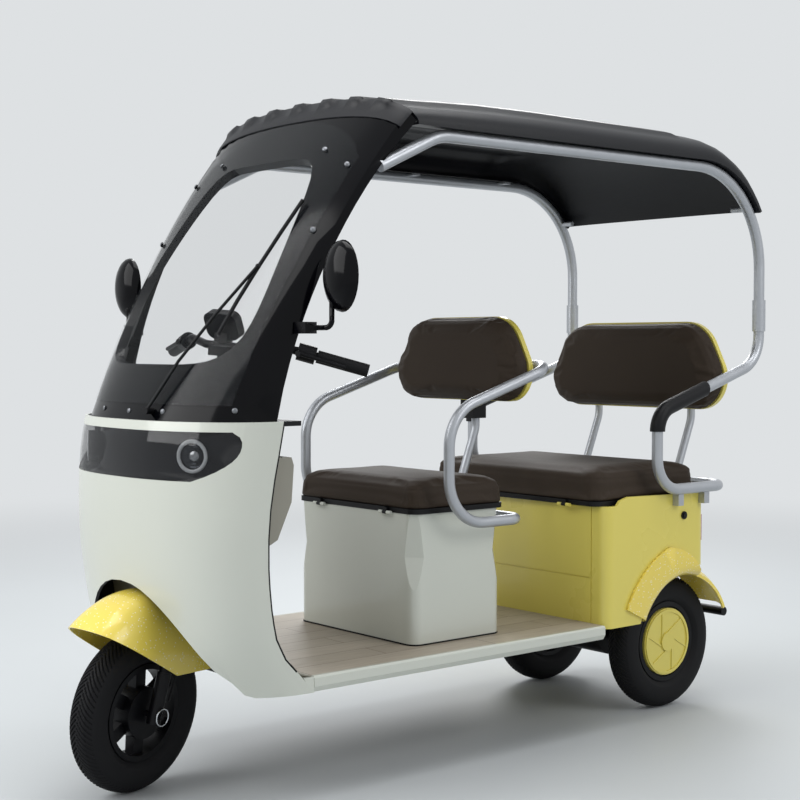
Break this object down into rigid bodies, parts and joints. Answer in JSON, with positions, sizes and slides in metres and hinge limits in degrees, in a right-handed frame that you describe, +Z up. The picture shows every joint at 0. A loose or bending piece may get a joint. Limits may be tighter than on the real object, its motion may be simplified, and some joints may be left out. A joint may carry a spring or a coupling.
{
  "type": "electric passenger tricycle",
  "caption": "Electric passenger tricycle with a moulded front cowl, curved windscreen, tube-framed canopy, a driver seat and a rear bench; it steers, rolls and opens its seats.",
  "frame": {"origin": "middle of the footprint on the ground under the tyres", "axes": "+Z up, -Y forwards, +X to the left side of the vehicle"},
  "size_m": [1.124, 2.2279, 1.7985],
  "materials": {
    "cream": "gloss",
    "yellow": "gloss",
    "black_plastic": "satin",
    "gloss_black": "gloss",
    "steel_tube": "brushed",
    "brown_vinyl": "grained",
    "beige_plastic": "satin",
    "floor_mat": "textured",
    "black_metal": "satin",
    "tyre_rubber": "matte",
    "black_rubber": "matte",
    "clear": "clear",
    "mirror": "polished",
    "red_lens": "gloss"
  },
  "bodies": {
    "vehicle": {"chassis_frame": "black_metal", "battery_pack": "black_plastic", "floor_panel": "floor_mat", "side_sills": "cream", "front_cowl": "cream", "leg_shield": "beige_plastic", "dashboard": "black_plastic", "headlight_housing": "gloss_black", "headlight_lens": "clear", "windscreen_surround": "gloss_black", "windscreen": "clear", "wiper": "black_plastic", "mirrors": "black_plastic", "mirror_glass": "mirror", "brake_pedal": "black_plastic", "roof": "black_plastic", "roof_visor": "black_plastic", "canopy_frame": "steel_tube", "rear_frame": "steel_tube", "armrest_covers": "black_plastic", "driver_seat_box": "cream", "driver_seat_frame": "steel_tube", "driver_backrest_shell": "yellow", "driver_backrest_pad": "brown_vinyl", "driver_back_bracket": "black_plastic", "rear_body": "yellow", "rear_fenders": "yellow", "charge_port": "black_plastic", "rear_backrest_posts": "steel_tube", "rear_backrest_shell": "yellow", "rear_backrest_pad": "brown_vinyl", "tail_lamps": "red_lens", "rear_bumper": "black_metal", "rear_axle": "black_metal", "leaf_springs": "black_metal"},
    "steering": {"front_fork": "black_metal", "handlebar": "black_metal", "handlebar_grips": "black_rubber", "handlebar_controls": "black_plastic", "front_fender": "yellow", "front_brake_cable": "black_rubber"},
    "front_wheel": {"front_tyre": "tyre_rubber", "front_rim": "black_metal"},
    "rear_wheel_left": {"rear_tyre_left": "tyre_rubber", "rear_rim_left": "black_metal", "rear_cap_left": "yellow"},
    "rear_wheel_right": {"rear_tyre_right": "tyre_rubber", "rear_rim_right": "black_metal", "rear_cap_right": "yellow"},
    "driver_seat_lid": {"driver_seat_board": "black_plastic", "driver_seat_cushion": "brown_vinyl"},
    "rear_seat_lid": {"rear_seat_board": "black_plastic", "rear_seat_cushion": "brown_vinyl"}
  },
  "joints": [
    {"name": "steering_turn", "type": "hinge", "parent": "vehicle", "child": "steering", "pos_m": [0, -0.87592, 0.19542], "axis": [0, 0.2588, 0.9659], "range_deg": [-47, 13]},
    {"name": "front_wheel_roll", "type": "hinge", "parent": "steering", "child": "front_wheel", "pos_m": [0.01082, -0.9101, 0.20458], "axis": [0.9563, 0.2824, -0.0757], "continuous": true},
    {"name": "rear_wheel_left_roll", "type": "hinge", "parent": "vehicle", "child": "rear_wheel_left", "pos_m": [0.251, 0.80534, 0.205], "axis": [1, 0, 0], "continuous": true},
    {"name": "rear_wheel_right_roll", "type": "hinge", "parent": "vehicle", "child": "rear_wheel_right", "pos_m": [-0.251, 0.80534, 0.205], "axis": [1, 0, 0], "continuous": true},
    {"name": "driver_seat_lift", "type": "hinge", "parent": "vehicle", "child": "driver_seat_lid", "pos_m": [0, -0.21266, 0.6683], "axis": [1, 0, 0], "range_deg": [0, 80]},
    {"name": "rear_seat_lift", "type": "hinge", "parent": "vehicle", "child": "rear_seat_lid", "pos_m": [0, 0.39334, 0.6563], "axis": [1, 0, 0], "range_deg": [0, 75]}
  ]
}
